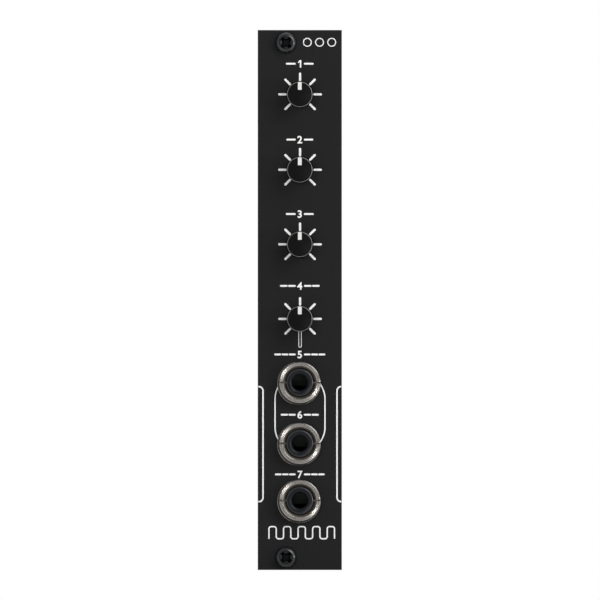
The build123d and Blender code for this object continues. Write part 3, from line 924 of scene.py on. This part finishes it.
def via(x, z):
    look = boardLook
    loop = circle(x, z, look["viaSize"] - look["viaLine"] / 2, look["viaSteps"])
    return ribbon(loop, look["viaLine"], lineFront, padBack, closed=True)


def grown(low, high, reach):
    step = Vector((reach, 0, reach))
    return low - step, high + step


def chipSide(low, high, chips):  # the direction in which a chip's lead leaves it
    middle = (low + high) / 2
    away = min((middle - (chipLow + chipHigh) / 2 for chipLow, chipHigh in chips), key=lambda way: way.length)
    if high.x - low.x > high.z - low.z:
        return Vector((math.copysign(1, away.x), 0, 0))
    return Vector((0, 0, math.copysign(1, away.z)))


def chipCopper(lines, pads):
    look = boardLook
    chips = solidBoxes("chips")
    for i, (low, high) in enumerate(solidBoxes("chip_leads")):
        out = chipSide(low, high, chips)
        middle, half = (low + high) / 2, (high - low) / 2
        tip = middle + Vector((out.x * half.x, 0, out.z * half.z))
        foot, reach = tip - out * look["footBack"], look["footReach"]
        spread = Vector((reach if out.x else half.x, 0, reach if out.z else half.z))
        pads.append(pad(*grown(foot - spread, foot + spread, look["padGrow"] / 2)))
        fan = look["fanOut"][i % len(look["fanOut"])]
        side = Vector((out.z, 0, out.x)) * look["fanShift"] * (1 if i % 2 else -1)
        bend, end = tip + out * fan / 2, tip + out * fan + side
        last = end.xz
        if out.x and min(abs(end.z - dial.z) for dial in dialPlaces) > look["busClear"]:
            last = Vector((lineX + out.x * look["busLines"][0][0], bend.z))
        lines.append(boardLine([tip.xz, bend.xz, last], look["lineWidth"]))
        pads.append(via(end.x, end.z))


def partCopper(parts, lines, pads):
    look = boardLook
    shift = look["fanShift"]
    for i, (low, high) in enumerate(parts):
        x = (low.x + high.x) / 2
        for side, edge in ((-1, low.z), (1, high.z)):
            first, last = sorted((edge - side * look["padUnder"], edge + side * look["padGrow"]))
            pads.append(pad(Vector((low.x, 0, first)), Vector((high.x, 0, last))))
            if (i + (side > 0)) % 2:
                bend = edge + side * look["stub"]
                path = [(x, edge), (x, bend), (x + side * shift, bend + shift)]
                lines.append(boardLine(path, look["lineWidth"]))


def longLine(x, inset, bend, width):  # runs down the board, with both ends bent towards the middle
    inward = math.copysign(bend, lineX - x)
    top, bottom = boardHigh.z - inset, boardLow.z + inset
    return boardLine([(x + inward, top), (x, top - bend), (x, bottom + bend), (x + inward, bottom)], width)


def powerLines():
    look = boardLook
    lines = []
    for x in (boardLow.x + look["powerInset"], boardHigh.x - look["powerInset"]):
        lines.append(longLine(x, look["powerEnd"], look["powerBend"], look["powerWidth"]))
    for side in (-1, 1):
        for place, inset in look["busLines"]:
            lines.append(longLine(lineX + side * place, inset, look["busBend"], look["busWidth"]))
    return lines


solderLook = {
    "leads": ("terminals", "bracket", "sleeve_contact", "tip_spring", "switch_contact"),
    "leadShown": 0.3, "leadReach": 2.4, "pinHeight": 0.5,
    "along": 0.42, "across": 0.22, "thinLead": 0.25, "height": 0.6, "gap": 0.03, "steps": 6, "around": 20,
    "hollow": 2.2, "square": 0.6, "smoothAngle": 60,
}


def leadEnds():  # the middle and half size of each lead that comes out of the board's rear
    groups = []
    for name, node in nodes.items():
        if not name.endswith(solderLook["leads"]):
            continue
        leads = []
        for corner in node.data.vertices:
            place = corner.co / mm
            if place.y < boardRear + solderLook["leadShown"]:
                continue
            near = [lead for lead in leads if (lead[0] - place).length < solderLook["leadReach"]]
            if near:
                near[0].append(place)
            else:
                leads.append([place])
        groups += leads
    ends = []
    for group in groups:
        xs, zs = [place.x for place in group], [place.z for place in group]
        middle = ((min(xs) + max(xs)) / 2, (min(zs) + max(zs)) / 2)
        ends.append((*middle, (max(xs) - min(xs)) / 2, (max(zs) - min(zs)) / 2))
    return ends


def solderJoint(x, z, halfX, halfZ, base, rise):
    look = solderLook
    wide, narrow = look["along"], look["across"] if min(halfX, halfZ) < look["thinLead"] else look["along"]
    growX, growZ = (wide, narrow) if halfX >= halfZ else (narrow, wide)
    rings = []
    for step in range(look["steps"] + 1):
        share = step / look["steps"]
        spread = (1 - share) ** look["hollow"]
        reachX, reachZ = halfX + look["gap"] + growX * spread, halfZ + look["gap"] + growZ * spread
        outline = []
        for cosine, sine in circle(0, 0, 1, look["around"]):
            square = 1 / max(abs(cosine), abs(sine)) ** (look["square"] * share)
            outline.append((x + reachX * cosine * square, z + reachZ * sine * square))
        rings.append(ringAt(outline, base + rise * share))
    return stacked(rings)


def makeCopper():
    lines, pads = powerLines(), []
    chipCopper(lines, pads)
    partCopper(smallParts, lines, pads)
    partCopper(solidBoxes("diodes"), lines, pads)
    makePiece("boardLines", lines, "traceGreen")
    makePiece("boardPads", pads, "solder")
    look = solderLook
    joints = [solderJoint(*end, boardRear, look["height"]) for end in leadEnds()]
    for low, high in solidBoxes("header_pins"):
        half = (high.x - low.x) / 2
        joints.append(solderJoint(*middleOf(low, high), half, half, boardLow.y, -look["pinHeight"]))
    makePiece("solderJoints", joints, "solder", smoothAngle=look["smoothAngle"])
    return len(joints)


silkLook = {
    "line": 0.14, "canGap": 0.35, "headerGap": 0.4, "barOut": 0.95, "barWidth": 0.4,
    "smallChip": 4.5, "smallDotOut": 0.5, "dotIn": 0.6, "dotRise": 0.45, "dotSize": 0.14, "dotSteps": 12,
    "sideOut": 0.25, "sideInset": 0.3,
}


def makeSilk():
    look = silkLook
    marks = []
    for name, gap in (("capacitor_bases", look["canGap"]), ("header_base", look["headerGap"])):
        for box in solidBoxes(name):
            low, high = grown(*box, gap)
            marks.append(boardLine(rectangle(low.x, high.x, low.z, high.z), look["line"], closed=True))
    low, high = boxInMm("header_base")
    bar = [(low.x - look["barOut"], low.z), (low.x - look["barOut"], high.z)]
    marks.append(boardLine(bar, look["barWidth"]))  # shows where the cable's marked edge goes
    for low, high in solidBoxes("chips"):
        x = high.x + look["smallDotOut"] if high.z - low.z < look["smallChip"] else low.x + look["dotIn"]
        dot = circle(x, high.z + look["dotRise"], look["dotSize"], look["dotSteps"])
        marks.append(boardLine(dot, look["line"], closed=True))
    for low, high in smallParts:
        for x in (low.x - look["sideOut"], high.x + look["sideOut"]):
            ends = [(x, low.z + look["sideInset"]), (x, high.z - look["sideInset"])]
            marks.append(boardLine(ends, look["line"]))
    makePiece("boardMarks", marks, "silkWhite")


makeBoard()
print("board made, solder joints:", makeCopper())
makeSilk()


# Parts on the board
canLook = {
    "segments": 96, "smoothAngle": 50, "foot": 0.2, "topRound": 0.3, "roundSteps": 6, "groove": 0.16,
    "grooveRise": 1.0, "grooveHalf": 0.3, "grooveOut": 0.06, "grooveSweep": 60, "grooveSteps": 8,
    "markAngle": 62, "markShare": 0.9, "markSink": 0.01, "markRise": 0.012, "markSteps": 24,
    "padWidth": 0.7, "padReach": 0.55, "padUnder": 0.8, "padLift": 0.02, "padHeight": 0.18, "baseRound": 0.1,
}


def makeCans():
    look = canLook
    marks, feet = [], []
    for i, (low, high) in enumerate(solidBoxes("capacitor_cans")):
        x, z = middleOf(low, high)
        radius, foot, r = (high.x - low.x) / 2, look["foot"], look["topRound"]
        groove, half = low.y + look["grooveRise"], look["grooveHalf"]
        out, start, end = look["grooveOut"], 180 + look["grooveSweep"], 180 - look["grooveSweep"]
        profile = [(0, low.y), (radius - foot, low.y), (radius, low.y + foot), (radius, groove - half)]
        profile += arc(radius + out, groove, out + look["groove"], start, end, look["grooveSteps"])
        profile += [(radius, groove + half)] + arc(radius - r, high.y - r, r, 0, 90, look["roundSteps"])
        profile += [(0, high.y)]
        can = makeObject(f"can{i + 1}", moved(turned(profile, look["segments"]), x, z))
        replaced = ["capacitor_cans"] if i else []
        finishPiece(can, "canAluminium", slot="can", replaces=replaced, smoothAngle=look["smoothAngle"])
        start, end = 90 - look["markAngle"], 90 + look["markAngle"]
        outline = arc(x, z, radius - r * look["markShare"], start, end, look["markSteps"])
        marks.append(plate(outline, high.y - look["markSink"], high.y + look["markRise"]))
    makePiece("canMarks", marks, "canMark")
    front, back = boardRear + look["padLift"], boardRear + look["padHeight"]
    for low, high in solidBoxes("capacitor_bases"):
        x, half = (low.x + high.x) / 2, look["padWidth"] / 2
        for z, side in ((low.z, -1), (high.z, 1)):
            first, last = sorted((z - side * look["padUnder"], z + side * look["padReach"]))
            feet.append(brick((x - half, front, first), (x + half, back, last)))
    makePiece("canFeet", feet, "tinnedSteel")
    softened("capacitor_bases", "canBases", "headerBlack", look["baseRound"], "header_plastic")


chipLook = {"round": 0.06, "dimple": 0.34, "dimpleDepth": 0.08, "dimpleInset": 0.75, "dimpleSegments": 32}


def makeChips():
    look = chipLook
    chips = softened("chips", "chipBodies", "chipBlack", look["round"], "chip")
    for low, high in solidBoxes("chips"):
        inset, radius, floor = look["dimpleInset"], look["dimple"], high.y - look["dimpleDepth"]
        upright = high.z - low.z > high.x - low.x
        x = low.x + inset if upright else high.x - inset
        profile = [(0, floor), (radius, floor), (radius, high.y + overrun), (0, high.y + overrun)]
        cutAway(chips, moved(turned(profile, look["dimpleSegments"]), x, high.z - inset))
    chips.data.materials[0] = surfaces["chipBlack"]


smallLook = {
    "capShare": 0.2, "capGrow": 0.025, "capRound": 0.05, "topInset": 0.08, "topFrom": 0.1, "topTo": 0.01,
}


def makeSmallParts(name, body, top, slot):  # chip resistors and ceramics, with a metal cap at each end
    look = smallLook
    grow, inset = look["capGrow"], look["topInset"]
    bodies, caps, tops = [], [], []
    for low, high in solidBoxes(name):
        cap = (high.z - low.z) * look["capShare"]
        first, last = low.z + cap, high.z - cap
        bodies.append(brick((low.x + grow, low.y + grow, first), (high.x - grow, high.y - grow, last)))
        caps.append(brick(low, (high.x, high.y, first)))
        caps.append(brick((low.x, low.y, last), high))
        if top:
            topLow = (low.x + inset, high.y - look["topFrom"], first)
            tops.append(brick(topLow, (high.x - inset, high.y - look["topTo"], last)))
    makePiece(name + "Caps", caps, "solder", look["capRound"])
    if top:
        makePiece(name + "Tops", tops, top)
    makePiece(name + "Bodies", bodies, body, slot=slot, replaces=[name])


def slopedBlock(low, high, slope, waist=0.45):  # a moulded body, widest at its waist
    rings = []
    for y, inset in ((low.y, slope), (low.y + (high.y - low.y) * waist, 0), (high.y, slope)):
        rings.append(ringAt(rectangle(low.x + inset, high.x - inset, low.z + inset, high.z - inset), y))
    return stacked(rings)


def bentStrip(path, x, width, thickness):  # path points are (z, y)
    corners, faces = ribbon(path, thickness, -width / 2, width / 2)
    return [Vector((x + corner.y, corner.z, corner.x)) for corner in corners], faces


transistorLook = {
    "width": 1.3, "lift": 0.15, "slope": 0.12, "round": 0.04,
    "leads": ((1, 0), (-1, -0.95), (-1, 0.95)),  # which side, and how far from the middle
    "leadRoot": 0.6, "leadKnee": 0.28, "leadLift": 0.08, "leadWidth": 0.4, "leadThickness": 0.12,
    "leadRound": 0.03,
}


def makeTransistors():
    look = transistorLook
    bodies, leads = [], []
    for low, high in solidBoxes("transistors"):
        x, z = middleOf(low, high)
        half, foot, middle = look["width"] / 2, low.y + look["leadLift"], (low.y + high.y) / 2
        bodyLow = Vector((low.x, low.y + look["lift"], z - half))
        bodies.append(slopedBlock(bodyLow, Vector((high.x, high.y, z + half)), look["slope"]))
        for side, place in look["leads"]:
            tip = high.z if side > 0 else low.z
            root, knee = z + side * look["leadRoot"], tip - side * look["leadKnee"]
            path = [(root, middle), (knee, middle), (knee, foot), (tip, foot)]
            leads.append(bentStrip(path, x + place, look["leadWidth"], look["leadThickness"]))
    makePiece("transistorBodies", bodies, "chipBlack", look["round"], slot="chip")
    makePiece("transistorLeads", leads, "tinnedSteel", look["leadRound"], replaces=["transistors"])


diodeLook = {
    "length": 2.8, "lift": 0.2, "slope": 0.12, "round": 0.05,
    "bandFrom": 0.62, "bandTo": 0.84, "bandSink": 0.02, "bandRise": 0.01,
    "footRoot": 0.1, "footOut": 0.12, "footLift": 0.1, "footWidth": 0.9, "footThickness": 0.16,
}


def makeDiodes():
    look = diodeLook
    bodies, bands, feet = [], [], []
    for low, high in solidBoxes("diodes"):
        x, z = middleOf(low, high)
        half, slope, length = look["length"] / 2, look["slope"], look["length"]
        bodyLow = Vector((low.x, low.y + look["lift"], z - half))
        bodyHigh = Vector((high.x, high.y, z + half))
        bodies.append(slopedBlock(bodyLow, bodyHigh, slope))
        bandLow = (low.x + slope, high.y - look["bandSink"], bodyLow.z + length * look["bandFrom"])
        bandHigh = (high.x - slope, high.y + look["bandRise"], bodyLow.z + length * look["bandTo"])
        bands.append(brick(bandLow, bandHigh))
        middle, foot = (bodyLow.y + bodyHigh.y) / 2 - look["footRoot"], low.y + look["footLift"]
        for side, tip in ((-1, low.z), (1, high.z)):
            edge, knee = z + side * (half - look["footRoot"]), tip - side * look["footOut"]
            path = [(edge, middle), (knee, middle), (knee, foot), (edge, foot)]
            feet.append(bentStrip(path, x, look["footWidth"], look["footThickness"]))
    makePiece("diodeBodies", bodies, "chipBlack", look["round"], slot="chip", replaces=["diodes"])
    makePiece("diodeBands", bands, "bandGrey")
    makePiece("diodeFeet", feet, "tinnedSteel")


headerLook = {
    "round": 0.08, "pinSide": 0.64, "pinTip": 0.3, "pinFoot": 0.25, "pinTaper": 0.55, "pinRound": 0.04,
}


def makeHeader():
    look = headerLook
    softened("header_base", "headerBase", "headerBlack", look["round"], "header_plastic")
    half, tip = look["pinSide"] / 2, look["pinTip"] / 2
    pins = []
    for low, high in solidBoxes("header_pins"):
        x, z = middleOf(low, high)
        foot, taper = low.y + look["pinFoot"], high.y - look["pinTaper"]
        levels = ((low.y, tip), (foot, half), (taper, half), (high.y, tip))
        pins.append(stacked([ringAt(rectangle(x - s, x + s, z - s, z + s), y) for y, s in levels]))
    makePiece("headerPins", pins, "pinGold", look["pinRound"], slot="gold", replaces=["header_pins"])


makeCans()
makeChips()
makeSmallParts("resistors", "partWhite", "chipBlack", "ceramic_white")
makeSmallParts("ceramic_capacitors", "partTan", None, "ceramic_tan")
makeTransistors()
makeDiodes()
makeHeader()
print("board parts made")


# Light, floor and camera. Levels and ranges go by the Y of a direction: -1 is the front.
stageLook = {
    "frontLevel": 0.13, "sideLevel": 0.62, "rearLevel": 1.0,
    "frontRange": (-0.9, -0.45), "rearRange": (0.0, 0.3),
    "floorSide": 4.0, "floorDrop": 0.05, "floorRoughness": 0.8, "floorColour": 0.9, "floorBounce": 0.45,
    "cameraShift": 0.051, "cameraDistance": 1.0, "viewWidth": 142.8,
}
lampLooks = {
    "key": {"power": 3.45, "size": 0.5, "distance": 0.8, "tilt": 50, "turn": 45},
    "strip": {"power": 1.3, "size": 0.12, "distance": 0.9, "tilt": 18, "turn": 150},
    "side": {"power": 1.3, "size": 0.115, "distance": 0.8, "tilt": 58, "turn": 2},
}


def addRange(tree, value, source, result):
    return addNode(tree, "MapRange", {
        "Value": value, "From Min": source[0], "From Max": source[1],
        "To Min": result[0], "To Max": result[1],
    }).outputs["Result"]


def addRays(tree):  # rays from the camera, and rays off a glossy or through a clear surface
    rays = addNode(tree, "LightPath", {}).outputs
    glossy = addMath(tree, "MAXIMUM", rays["Is Glossy Ray"], rays["Is Transmission Ray"])
    return rays["Is Camera Ray"], glossy


def makeWorld(look):
    world = bpy.data.worlds.new("studio")
    bpy.context.scene.world = world
    world.use_nodes = True
    tree = world.node_tree
    tree.nodes.clear()
    place = addNode(tree, "TexCoord", {}).outputs["Generated"]
    depth = addNode(tree, "SeparateXYZ", {"Vector": place}).outputs["Y"]
    toRear = addRange(tree, depth, look["rearRange"], (look["sideLevel"], look["rearLevel"]))
    toFront = addRange(tree, depth, look["frontRange"], (look["frontLevel"] / look["sideLevel"], 1))
    behind = addRange(tree, depth, look["rearRange"], (0, 1))
    camera, glossy = addRays(tree)
    share = addMath(tree, "MAXIMUM", addMath(tree, "MULTIPLY", glossy, behind), camera)
    level = addMath(tree, "MULTIPLY", toRear, toFront)
    white = (1, 1, 1, 1)
    studio = addNode(tree, "Background", {"Color": white, "Strength": level}).outputs["Background"]
    backdrop = addNode(tree, "Background", {"Color": white}).outputs["Background"]
    mix = addNode(tree, "MixShader", {"Fac": share, 1: studio, 2: backdrop})
    addNode(tree, "OutputWorld", {"Surface": mix.outputs["Shader"]})


def makeFloor(look):
    half, low = look["floorSide"] / 2 / mm, panelLow.z - look["floorDrop"]
    corners = [Vector((x, y, low)) for x, y in rectangle(-half, half, -half, half)]
    floor = makeObject("floor", (corners, [[0, 1, 2, 3]]))
    material = bpy.data.materials.new("paleFloor")
    material.use_nodes = True
    tree = material.node_tree
    mix = addNode(tree, "Mix", {})
    mix.data_type = "RGBA"
    seen, bounced = (*[look["floorColour"]] * 3, 1), (*[look["floorBounce"]] * 3, 1)
    setInputs(tree, mix, {"Factor": addMath(tree, "MAXIMUM", *addRays(tree)), "A": bounced, "B": seen})
    paint = {"Base Color": mix.outputs["Result"], "Roughness": look["floorRoughness"]}
    setInputs(tree, tree.nodes["Principled BSDF"], paint)
    floor.data.materials.append(material)


def makeLamp(name, power, size, distance, tilt, turn):
    lamp = bpy.data.lights.new(name, "AREA")
    lamp.shape = "SQUARE"
    lamp.size = size
    lamp.energy = power
    holder = addObject(name, lamp)
    tilt, turn = math.radians(tilt), math.radians(turn)
    away = Vector((math.sin(tilt) * math.cos(turn), -math.cos(tilt), math.sin(tilt) * math.sin(turn)))
    holder.location = away * distance + Vector((lineX * mm, 0, 0))
    holder.rotation_mode = "QUATERNION"
    holder.rotation_quaternion = away.to_track_quat("Z", "Y")


def makeCamera(look):
    camera = bpy.data.cameras.new("camera")
    camera.type = "ORTHO"
    camera.ortho_scale = look["viewWidth"] * mm
    holder = addObject("camera", camera)
    holder.location = ((lineX + look["cameraShift"]) * mm, -look["cameraDistance"], 0)
    holder.rotation_euler = (math.radians(90), 0, 0)
    bpy.context.scene.camera = holder


makeWorld(stageLook)
makeFloor(stageLook)
for name, look in lampLooks.items():
    makeLamp(name, **look)
makeCamera(stageLook)
bpy.context.scene.view_settings.view_transform = "Standard"
print("stage made")
